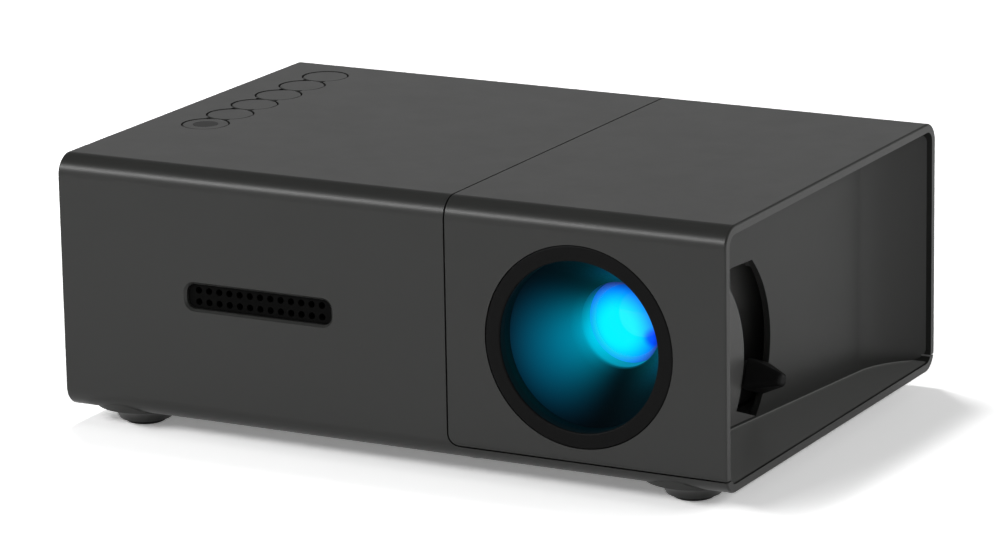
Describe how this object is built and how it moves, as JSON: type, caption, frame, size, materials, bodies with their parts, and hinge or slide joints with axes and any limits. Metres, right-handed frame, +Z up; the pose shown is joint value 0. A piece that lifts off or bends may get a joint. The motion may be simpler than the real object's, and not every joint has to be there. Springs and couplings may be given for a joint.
{
  "type": "mini LED projector",
  "caption": "Palm-sized LED projector with a recessed lens ring, scalloped top buttons, a focus lever in a hollowed side, rear sockets and a vented left side.",
  "frame": {"origin": "on the floor under the middle of the body", "axes": "+X to the projector's right seen from the front, +Y to its rear, +Z up"},
  "size_m": [0.126, 0.085, 0.048],
  "materials": {
    "charcoal_shell": "fine satin texture",
    "black_plastic": "fine matt texture",
    "gloss_black": "gloss",
    "grey_plastic": "satin",
    "button_plastic": "satin",
    "rubber": "matt",
    "lens_glass": "polished",
    "clear_sheet": "polished",
    "mirror_coat": "polished",
    "board_laminate": "solder mask",
    "component_black": "matt",
    "paper_black": "matt",
    "plated_steel": "plated",
    "screw_steel": "dark plated",
    "aluminium": "extruded",
    "brass": "turned",
    "ribbon_film": "film"
  },
  "bodies": {
    "body": {"av_jack": "black_plastic", "board_ribbon": "ribbon_film", "board_screws": "screw_steel", "button_board": "board_laminate", "button_switches": "component_black", "card_socket": "plated_steel", "case_screws": "screw_steel", "condenser_holder": "black_plastic", "condenser_lens": "lens_glass", "engine_cover": "black_plastic", "engine_housing": "black_plastic", "engine_screws": "screw_steel", "fan_frame": "black_plastic", "fan_screws": "screw_steel", "focus_guide": "grey_plastic", "fold_mirror": "mirror_coat", "foot_front_left": "rubber", "foot_front_right": "rubber", "foot_rear_left": "rubber", "foot_rear_right": "rubber", "fresnel_front": "clear_sheet", "fresnel_rear": "clear_sheet", "hdmi_socket": "plated_steel", "heat_sink": "aluminium", "io_board": "board_laminate", "lcd_panel": "clear_sheet", "led_board": "board_laminate", "led_emitter": "lens_glass", "left_side_grille": "black_plastic", "lens_barrel": "gloss_black", "lens_bezel": "black_plastic", "lens_side_cap": "charcoal_shell", "lever_pivot_screw": "screw_steel", "main_board": "board_laminate", "main_board_parts": "component_black", "main_case": "charcoal_shell", "power_jack": "black_plastic", "rear_port_panel": "black_plastic", "speaker_cone": "paper_black", "speaker_frame": "black_plastic", "speaker_grille": "black_plastic", "speaker_magnet": "plated_steel", "tripod_insert": "brass", "usb_socket": "plated_steel"},
    "focus_lever": {"focus_lever": "black_plastic"},
    "lens_group": {"lens_carrier": "black_plastic", "front_lens": "lens_glass", "rear_lens": "lens_glass"},
    "fan_rotor": {"fan_rotor": "black_plastic"},
    "power_button": {"power_button": "button_plastic", "power_indicator": "gloss_black"},
    "source_button": {"source_button": "button_plastic"},
    "menu_button": {"menu_button": "button_plastic"},
    "left_button": {"left_button": "button_plastic"},
    "right_button": {"right_button": "button_plastic"},
    "back_button": {"back_button": "button_plastic"}
  },
  "joints": [
    {"name": "focus_turn", "type": "hinge", "parent": "body", "child": "focus_lever", "pos_m": [0.04831, -0.02, 0.0186], "axis": [0.9928, -0.1201, 0], "range_deg": [-11, 57]},
    {"name": "lens_slide", "type": "slide", "parent": "body", "child": "lens_group", "axis": [0, 1, 0], "range_m": [-0.00252, 0.00049]},
    {"name": "fan_spin", "type": "hinge", "parent": "body", "child": "fan_rotor", "pos_m": [-0.055, 0.0095, 0.02365], "axis": [1, 0, 0], "continuous": true},
    {"name": "power_press", "type": "slide", "parent": "body", "child": "power_button", "axis": [0, 0, -1], "range_m": [0, 0.0004], "stiffness_N_per_m": 2000},
    {"name": "source_press", "type": "slide", "parent": "body", "child": "source_button", "axis": [0, 0, -1], "range_m": [0, 0.0004], "stiffness_N_per_m": 2000},
    {"name": "menu_press", "type": "slide", "parent": "body", "child": "menu_button", "axis": [0, 0, -1], "range_m": [0, 0.0004], "stiffness_N_per_m": 2000},
    {"name": "left_press", "type": "slide", "parent": "body", "child": "left_button", "axis": [0, 0, -1], "range_m": [0, 0.0004], "stiffness_N_per_m": 2000},
    {"name": "right_press", "type": "slide", "parent": "body", "child": "right_button", "axis": [0, 0, -1], "range_m": [0, 0.0004], "stiffness_N_per_m": 2000},
    {"name": "back_press", "type": "slide", "parent": "body", "child": "back_button", "axis": [0, 0, -1], "range_m": [0, 0.0004], "stiffness_N_per_m": 2000}
  ],
  "couplings": [
    {"joint": "focus_turn", "follows": "lens_slide", "rad_per_m": -395.26}
  ]
}
